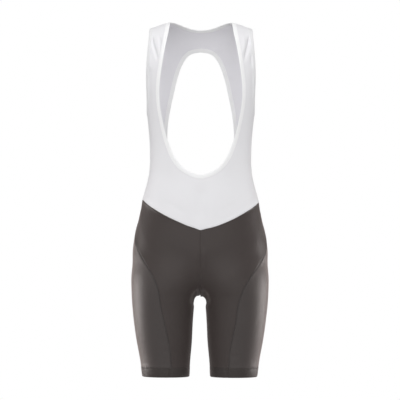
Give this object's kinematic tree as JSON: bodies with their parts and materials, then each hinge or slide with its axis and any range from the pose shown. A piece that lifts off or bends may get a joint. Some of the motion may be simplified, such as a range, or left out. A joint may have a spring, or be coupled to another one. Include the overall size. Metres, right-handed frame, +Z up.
{
  "type": "cycling bib shorts",
  "caption": "Cycling bib shorts filled out as worn: white knit bib with a deep neck and an open back, V waist seam, dark stretch shorts with curved thigh seams and elastic leg bands.",
  "frame": {"origin": "between the two strap tops, at the height of their inner ends, where the wearer's shoulders hold the garment up", "axes": "+Z up, the front of the garment faces -Y, +X towards the wearer's left"},
  "size_m": [0.3339, 0.221, 0.8694],
  "materials": {
    "white_knit": "matt fine warp knit, slightly see-through",
    "white_elastic": "folded elastic binding, brighter than the knit",
    "grey_lycra": "smooth warm charcoal stretch knit with a soft sheen",
    "grey_elastic": "charcoal stretch knit over an elastic leg band"
  },
  "bodies": {
    "root": {"front_bib": "white_knit", "back_bib": "white_knit", "neck_binding": "white_elastic", "back_opening_binding": "white_elastic", "armhole_binding_left": "white_elastic", "armhole_binding_right": "white_elastic", "shorts_front_left": "grey_lycra", "shorts_front_right": "grey_lycra", "shorts_back_left": "grey_lycra", "shorts_back_right": "grey_lycra", "leg_hem_left": "grey_elastic", "leg_hem_right": "grey_elastic"}
  },
  "joints": []
}
